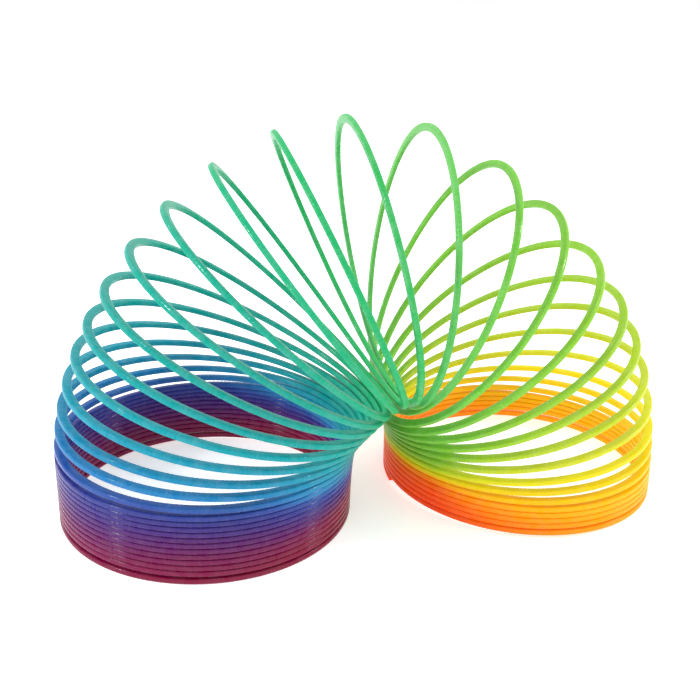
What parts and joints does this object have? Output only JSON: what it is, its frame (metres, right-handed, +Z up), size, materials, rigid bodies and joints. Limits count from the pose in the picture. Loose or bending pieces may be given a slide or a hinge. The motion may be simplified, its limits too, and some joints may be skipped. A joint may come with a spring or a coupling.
{
  "type": "spring coil toy",
  "caption": "Rainbow plastic spring coil toy: a flat strand wound in round turns, standing as an arch on two closed end stacks.",
  "frame": {"origin": "middle of the toy's bounding box, on the floor that both feet rest on", "axes": "+X from the left foot to the right foot, +Y to the back, +Z up"},
  "size_m": [0.1626, 0.0851, 0.1009],
  "materials": {
    "left_foot_end_dye": "gloss",
    "left_stack_01_dye": "gloss",
    "left_stack_02_dye": "gloss",
    "left_stack_03_dye": "gloss",
    "left_stack_04_dye": "gloss",
    "left_stack_05_dye": "gloss",
    "left_stack_06_dye": "gloss",
    "left_stack_07_dye": "gloss",
    "left_stack_08_dye": "gloss",
    "left_stack_09_dye": "gloss",
    "left_stack_10_dye": "gloss",
    "left_stack_11_dye": "gloss",
    "left_stack_12_dye": "gloss",
    "left_fan_01_dye": "gloss",
    "left_fan_02_dye": "gloss",
    "left_fan_03_dye": "gloss",
    "left_fan_04_dye": "gloss",
    "left_fan_05_dye": "gloss",
    "left_fan_06_dye": "gloss",
    "left_fan_07_dye": "gloss",
    "left_fan_08_dye": "gloss",
    "left_fan_09_dye": "gloss",
    "left_fan_10_dye": "gloss",
    "crown_dye": "gloss",
    "right_fan_01_dye": "gloss",
    "right_fan_02_dye": "gloss",
    "right_fan_03_dye": "gloss",
    "right_fan_04_dye": "gloss",
    "right_fan_05_dye": "gloss",
    "right_fan_06_dye": "gloss",
    "right_fan_07_dye": "gloss",
    "right_fan_08_dye": "gloss",
    "right_stack_01_dye": "gloss",
    "right_stack_02_dye": "gloss",
    "right_stack_03_dye": "gloss",
    "right_stack_04_dye": "gloss",
    "right_stack_05_dye": "gloss",
    "right_stack_06_dye": "gloss",
    "right_stack_07_dye": "gloss",
    "right_foot_end_dye": "gloss"
  },
  "bodies": {
    "left_foot_end_turn": {"left_foot_end_turn": "left_foot_end_dye"},
    "left_stack_turn_01": {"left_stack_turn_01": "left_stack_01_dye"},
    "left_stack_turn_02": {"left_stack_turn_02": "left_stack_02_dye"},
    "left_stack_turn_03": {"left_stack_turn_03": "left_stack_03_dye"},
    "left_stack_turn_04": {"left_stack_turn_04": "left_stack_04_dye"},
    "left_stack_turn_05": {"left_stack_turn_05": "left_stack_05_dye"},
    "left_stack_turn_06": {"left_stack_turn_06": "left_stack_06_dye"},
    "left_stack_turn_07": {"left_stack_turn_07": "left_stack_07_dye"},
    "left_stack_turn_08": {"left_stack_turn_08": "left_stack_08_dye"},
    "left_stack_turn_09": {"left_stack_turn_09": "left_stack_09_dye"},
    "left_stack_turn_10": {"left_stack_turn_10": "left_stack_10_dye"},
    "left_stack_turn_11": {"left_stack_turn_11": "left_stack_11_dye"},
    "left_stack_turn_12": {"left_stack_turn_12": "left_stack_12_dye"},
    "left_fan_turn_01": {"left_fan_turn_01": "left_fan_01_dye"},
    "left_fan_turn_02": {"left_fan_turn_02": "left_fan_02_dye"},
    "left_fan_turn_03": {"left_fan_turn_03": "left_fan_03_dye"},
    "left_fan_turn_04": {"left_fan_turn_04": "left_fan_04_dye"},
    "left_fan_turn_05": {"left_fan_turn_05": "left_fan_05_dye"},
    "left_fan_turn_06": {"left_fan_turn_06": "left_fan_06_dye"},
    "left_fan_turn_07": {"left_fan_turn_07": "left_fan_07_dye"},
    "left_fan_turn_08": {"left_fan_turn_08": "left_fan_08_dye"},
    "left_fan_turn_09": {"left_fan_turn_09": "left_fan_09_dye"},
    "left_fan_turn_10": {"left_fan_turn_10": "left_fan_10_dye"},
    "crown_turn": {"crown_turn": "crown_dye"},
    "right_fan_turn_01": {"right_fan_turn_01": "right_fan_01_dye"},
    "right_fan_turn_02": {"right_fan_turn_02": "right_fan_02_dye"},
    "right_fan_turn_03": {"right_fan_turn_03": "right_fan_03_dye"},
    "right_fan_turn_04": {"right_fan_turn_04": "right_fan_04_dye"},
    "right_fan_turn_05": {"right_fan_turn_05": "right_fan_05_dye"},
    "right_fan_turn_06": {"right_fan_turn_06": "right_fan_06_dye"},
    "right_fan_turn_07": {"right_fan_turn_07": "right_fan_07_dye"},
    "right_fan_turn_08": {"right_fan_turn_08": "right_fan_08_dye"},
    "right_stack_turn_01": {"right_stack_turn_01": "right_stack_01_dye"},
    "right_stack_turn_02": {"right_stack_turn_02": "right_stack_02_dye"},
    "right_stack_turn_03": {"right_stack_turn_03": "right_stack_03_dye"},
    "right_stack_turn_04": {"right_stack_turn_04": "right_stack_04_dye"},
    "right_stack_turn_05": {"right_stack_turn_05": "right_stack_05_dye"},
    "right_stack_turn_06": {"right_stack_turn_06": "right_stack_06_dye"},
    "right_stack_turn_07": {"right_stack_turn_07": "right_stack_07_dye"},
    "right_foot_end_turn": {"right_foot_end_turn": "right_foot_end_dye"}
  },
  "joints": [
    {"name": "left_stack_turn_01_flex", "type": "hinge", "parent": "left_foot_end_turn", "child": "left_stack_turn_01", "pos_m": [-0.0075, 0.00368, 0.00219], "axis": [0, -1, 0], "range_deg": [-1.22, 0.1]},
    {"name": "left_stack_turn_02_flex", "type": "hinge", "parent": "left_stack_turn_01", "child": "left_stack_turn_02", "pos_m": [-0.0075, 0.00363, 0.00375], "axis": [0, -1, 0], "range_deg": [-1.22, 0.1]},
    {"name": "left_stack_turn_03_flex", "type": "hinge", "parent": "left_stack_turn_02", "child": "left_stack_turn_03", "pos_m": [-0.0075, 0.00356, 0.0053], "axis": [0, -1, 0], "range_deg": [-1.22, 0.1]},
    {"name": "left_stack_turn_04_flex", "type": "hinge", "parent": "left_stack_turn_03", "child": "left_stack_turn_04", "pos_m": [-0.0075, 0.00346, 0.00686], "axis": [0, -1, 0], "range_deg": [-1.22, 0.1]},
    {"name": "left_stack_turn_05_flex", "type": "hinge", "parent": "left_stack_turn_04", "child": "left_stack_turn_05", "pos_m": [-0.0075, 0.00333, 0.00842], "axis": [0, -1, 0], "range_deg": [-1.22, 0.1]},
    {"name": "left_stack_turn_06_flex", "type": "hinge", "parent": "left_stack_turn_05", "child": "left_stack_turn_06", "pos_m": [-0.0075, 0.00316, 0.00997], "axis": [0, -1, 0], "range_deg": [-1.22, 0.1]},
    {"name": "left_stack_turn_07_flex", "type": "hinge", "parent": "left_stack_turn_06", "child": "left_stack_turn_07", "pos_m": [-0.0075, 0.00295, 0.01153], "axis": [0, -1, 0], "range_deg": [-1.22, 0.1]},
    {"name": "left_stack_turn_08_flex", "type": "hinge", "parent": "left_stack_turn_07", "child": "left_stack_turn_08", "pos_m": [-0.0075, 0.00268, 0.01308], "axis": [0, -1, 0], "range_deg": [-1.22, 0.1]},
    {"name": "left_stack_turn_09_flex", "type": "hinge", "parent": "left_stack_turn_08", "child": "left_stack_turn_09", "pos_m": [-0.0075, 0.00234, 0.01464], "axis": [0, -1, 0], "range_deg": [-1.22, 0.1]},
    {"name": "left_stack_turn_10_flex", "type": "hinge", "parent": "left_stack_turn_09", "child": "left_stack_turn_10", "pos_m": [-0.00749, 0.00194, 0.01619], "axis": [0, -1, 0], "range_deg": [-1.22, 0.1]},
    {"name": "left_stack_turn_11_flex", "type": "hinge", "parent": "left_stack_turn_10", "child": "left_stack_turn_11", "pos_m": [-0.00747, 0.00147, 0.01775], "axis": [0, -1, 0], "range_deg": [-1.22, 0.1]},
    {"name": "left_stack_turn_12_flex", "type": "hinge", "parent": "left_stack_turn_11", "child": "left_stack_turn_12", "pos_m": [-0.00739, 0.00092, 0.0193], "axis": [0, -1, 0], "range_deg": [-0.073, 0.812]},
    {"name": "left_fan_turn_01_flex", "type": "hinge", "parent": "left_stack_turn_12", "child": "left_fan_turn_01", "pos_m": [-0.00719, 0.00029, 0.02085], "axis": [0, -1, 0], "range_deg": [-0.12, 1.57]},
    {"name": "left_fan_turn_02_flex", "type": "hinge", "parent": "left_fan_turn_01", "child": "left_fan_turn_02", "pos_m": [-0.00675, -0.0004, 0.02238], "axis": [0, -1, 0], "range_deg": [-0.15, 1.91]},
    {"name": "left_fan_turn_03_flex", "type": "hinge", "parent": "left_fan_turn_02", "child": "left_fan_turn_03", "pos_m": [-0.00605, -0.00114, 0.02386], "axis": [0, -1, 0], "range_deg": [-0.18, 2.39]},
    {"name": "left_fan_turn_04_flex", "type": "hinge", "parent": "left_fan_turn_03", "child": "left_fan_turn_04", "pos_m": [-0.00513, -0.00193, 0.02526], "axis": [0, -1, 0], "range_deg": [-0.2, 2.79]},
    {"name": "left_fan_turn_05_flex", "type": "hinge", "parent": "left_fan_turn_04", "child": "left_fan_turn_05", "pos_m": [-0.0041, -0.00274, 0.02659], "axis": [0, -1, 0], "range_deg": [-0.23, 3.18]},
    {"name": "left_fan_turn_06_flex", "type": "hinge", "parent": "left_fan_turn_05", "child": "left_fan_turn_06", "pos_m": [-0.00306, -0.00355, 0.02786], "axis": [0, -1, 0], "range_deg": [-0.26, 3.63]},
    {"name": "left_fan_turn_07_flex", "type": "hinge", "parent": "left_fan_turn_06", "child": "left_fan_turn_07", "pos_m": [-0.00206, -0.00432, 0.02909], "axis": [0, -1, 0], "range_deg": [-0.31, 4.43]},
    {"name": "left_fan_turn_08_flex", "type": "hinge", "parent": "left_fan_turn_07", "child": "left_fan_turn_08", "pos_m": [-0.00104, -0.00503, 0.03028], "axis": [0, -1, 0], "range_deg": [-0.36, 5.21]},
    {"name": "left_fan_turn_09_flex", "type": "hinge", "parent": "left_fan_turn_08", "child": "left_fan_turn_09", "pos_m": [0.00007, -0.00564, 0.03136], "axis": [0, -1, 0], "range_deg": [-0.42, 6.08]},
    {"name": "left_fan_turn_10_flex", "type": "hinge", "parent": "left_fan_turn_09", "child": "left_fan_turn_10", "pos_m": [0.00139, -0.00603, 0.03218], "axis": [0, -1, 0], "range_deg": [-0.47, 7.08], "stiffness_Nm_per_rad": 0.2},
    {"name": "crown_turn_flex", "type": "hinge", "parent": "left_fan_turn_10", "child": "crown_turn", "pos_m": [0.00311, -0.00571, 0.03208], "axis": [0, -1, 0], "range_deg": [-0.4, 5.78]},
    {"name": "right_fan_turn_01_flex", "type": "hinge", "parent": "crown_turn", "child": "right_fan_turn_01", "pos_m": [0.00473, -0.00255, 0.02959], "axis": [0, -1, 0], "range_deg": [-0.3, 4.2]},
    {"name": "right_fan_turn_02_flex", "type": "hinge", "parent": "right_fan_turn_01", "child": "right_fan_turn_02", "pos_m": [0.00447, 0.00425, 0.02509], "axis": [0, -1, 0], "range_deg": [-0.12, 1.58]},
    {"name": "right_fan_turn_03_flex", "type": "hinge", "parent": "right_fan_turn_02", "child": "right_fan_turn_03", "pos_m": [0.00387, 0.00561, 0.02153], "axis": [0, -1, 0], "range_deg": [-0.56, 8.34], "stiffness_Nm_per_rad": 0.2},
    {"name": "right_fan_turn_04_flex", "type": "hinge", "parent": "right_fan_turn_03", "child": "right_fan_turn_04", "pos_m": [0.00429, 0.00593, 0.01958], "axis": [0, -1, 0], "range_deg": [-0.52, 7.52]},
    {"name": "right_fan_turn_05_flex", "type": "hinge", "parent": "right_fan_turn_04", "child": "right_fan_turn_05", "pos_m": [0.00513, 0.0059, 0.01825], "axis": [0, -1, 0], "range_deg": [-0.42, 5.96]},
    {"name": "right_fan_turn_06_flex", "type": "hinge", "parent": "right_fan_turn_05", "child": "right_fan_turn_06", "pos_m": [0.00589, 0.00579, 0.01689], "axis": [0, -1, 0], "range_deg": [-0.32, 4.52]},
    {"name": "right_fan_turn_07_flex", "type": "hinge", "parent": "right_fan_turn_06", "child": "right_fan_turn_07", "pos_m": [0.00649, 0.00565, 0.01546], "axis": [0, -1, 0], "range_deg": [-0.29, 4.06]},
    {"name": "right_fan_turn_08_flex", "type": "hinge", "parent": "right_fan_turn_07", "child": "right_fan_turn_08", "pos_m": [0.00692, 0.00549, 0.01396], "axis": [0, -1, 0], "range_deg": [-0.25, 3.5]},
    {"name": "right_stack_turn_01_flex", "type": "hinge", "parent": "right_fan_turn_08", "child": "right_stack_turn_01", "pos_m": [0.00719, 0.00532, 0.01243], "axis": [0, -1, 0], "range_deg": [-0.2, 2.71]},
    {"name": "right_stack_turn_02_flex", "type": "hinge", "parent": "right_stack_turn_01", "child": "right_stack_turn_02", "pos_m": [0.00734, 0.00514, 0.01093], "axis": [0, -1, 0], "range_deg": [-0.12, 1.58]},
    {"name": "right_stack_turn_03_flex", "type": "hinge", "parent": "right_stack_turn_02", "child": "right_stack_turn_03", "pos_m": [0.00743, 0.00497, 0.00947], "axis": [0, -1, 0], "range_deg": [-0.1, 1.2]},
    {"name": "right_stack_turn_04_flex", "type": "hinge", "parent": "right_stack_turn_03", "child": "right_stack_turn_04", "pos_m": [0.00745, 0.0048, 0.00801], "axis": [0, -1, 0], "range_deg": [-1.22, 0.1]},
    {"name": "right_stack_turn_05_flex", "type": "hinge", "parent": "right_stack_turn_04", "child": "right_stack_turn_05", "pos_m": [0.00746, 0.00464, 0.00654], "axis": [0, -1, 0], "range_deg": [-1.22, 0.1]},
    {"name": "right_stack_turn_06_flex", "type": "hinge", "parent": "right_stack_turn_05", "child": "right_stack_turn_06", "pos_m": [0.00747, 0.0045, 0.00508], "axis": [0, -1, 0], "range_deg": [-1.22, 0.1]},
    {"name": "right_stack_turn_07_flex", "type": "hinge", "parent": "right_stack_turn_06", "child": "right_stack_turn_07", "pos_m": [0.00747, 0.00437, 0.00361], "axis": [0, -1, 0], "range_deg": [-1.22, 0.1]},
    {"name": "right_foot_end_turn_flex", "type": "hinge", "parent": "right_stack_turn_07", "child": "right_foot_end_turn", "pos_m": [0.00747, 0.00426, 0.00215], "axis": [0, -1, 0], "range_deg": [-1.22, 0.1]}
  ],
  "couplings": [
    {"joint": "left_stack_turn_01_flex", "follows": "left_fan_turn_10_flex", "ratio": -0.1695},
    {"joint": "left_stack_turn_02_flex", "follows": "left_fan_turn_10_flex", "ratio": -0.1695},
    {"joint": "left_stack_turn_03_flex", "follows": "left_fan_turn_10_flex", "ratio": -0.1695},
    {"joint": "left_stack_turn_04_flex", "follows": "left_fan_turn_10_flex", "ratio": -0.1695},
    {"joint": "left_stack_turn_05_flex", "follows": "left_fan_turn_10_flex", "ratio": -0.1695},
    {"joint": "left_stack_turn_06_flex", "follows": "left_fan_turn_10_flex", "ratio": -0.1695},
    {"joint": "left_stack_turn_07_flex", "follows": "left_fan_turn_10_flex", "ratio": -0.1695},
    {"joint": "left_stack_turn_08_flex", "follows": "left_fan_turn_10_flex", "ratio": -0.1695},
    {"joint": "left_stack_turn_09_flex", "follows": "left_fan_turn_10_flex", "ratio": -0.1695},
    {"joint": "left_stack_turn_10_flex", "follows": "left_fan_turn_10_flex", "ratio": -0.1695},
    {"joint": "left_stack_turn_11_flex", "follows": "left_fan_turn_10_flex", "ratio": -0.1695},
    {"joint": "left_stack_turn_12_flex", "follows": "left_fan_turn_10_flex", "ratio": 0.1119},
    {"joint": "left_fan_turn_01_flex", "follows": "left_fan_turn_10_flex", "ratio": 0.2186},
    {"joint": "left_fan_turn_02_flex", "follows": "left_fan_turn_10_flex", "ratio": 0.2671},
    {"joint": "left_fan_turn_03_flex", "follows": "left_fan_turn_10_flex", "ratio": 0.3346},
    {"joint": "left_fan_turn_04_flex", "follows": "left_fan_turn_10_flex", "ratio": 0.3918},
    {"joint": "left_fan_turn_05_flex", "follows": "left_fan_turn_10_flex", "ratio": 0.4463},
    {"joint": "left_fan_turn_06_flex", "follows": "left_fan_turn_10_flex", "ratio": 0.5094},
    {"joint": "left_fan_turn_07_flex", "follows": "left_fan_turn_10_flex", "ratio": 0.6226},
    {"joint": "left_fan_turn_08_flex", "follows": "left_fan_turn_10_flex", "ratio": 0.7332},
    {"joint": "left_fan_turn_09_flex", "follows": "left_fan_turn_10_flex", "ratio": 0.8561},
    {"joint": "crown_turn_flex", "follows": "left_fan_turn_10_flex", "ratio": 0.8136},
    {"joint": "right_fan_turn_01_flex", "follows": "right_fan_turn_03_flex", "ratio": 0.5007},
    {"joint": "right_fan_turn_02_flex", "follows": "right_fan_turn_03_flex", "ratio": 0.1873},
    {"joint": "right_fan_turn_04_flex", "follows": "right_fan_turn_03_flex", "ratio": 0.8993},
    {"joint": "right_fan_turn_05_flex", "follows": "right_fan_turn_03_flex", "ratio": 0.7122},
    {"joint": "right_fan_turn_06_flex", "follows": "right_fan_turn_03_flex", "ratio": 0.5396},
    {"joint": "right_fan_turn_07_flex", "follows": "right_fan_turn_03_flex", "ratio": 0.4839},
    {"joint": "right_fan_turn_08_flex", "follows": "right_fan_turn_03_flex", "ratio": 0.4167},
    {"joint": "right_stack_turn_01_flex", "follows": "right_fan_turn_03_flex", "ratio": 0.3224},
    {"joint": "right_stack_turn_02_flex", "follows": "right_fan_turn_03_flex", "ratio": 0.1876},
    {"joint": "right_stack_turn_03_flex", "follows": "right_fan_turn_03_flex", "ratio": 0.1411},
    {"joint": "right_stack_turn_04_flex", "follows": "right_fan_turn_03_flex", "ratio": -0.1439},
    {"joint": "right_stack_turn_05_flex", "follows": "right_fan_turn_03_flex", "ratio": -0.1439},
    {"joint": "right_stack_turn_06_flex", "follows": "right_fan_turn_03_flex", "ratio": -0.1439},
    {"joint": "right_stack_turn_07_flex", "follows": "right_fan_turn_03_flex", "ratio": -0.1439},
    {"joint": "right_foot_end_turn_flex", "follows": "right_fan_turn_03_flex", "ratio": -0.1439}
  ]
}
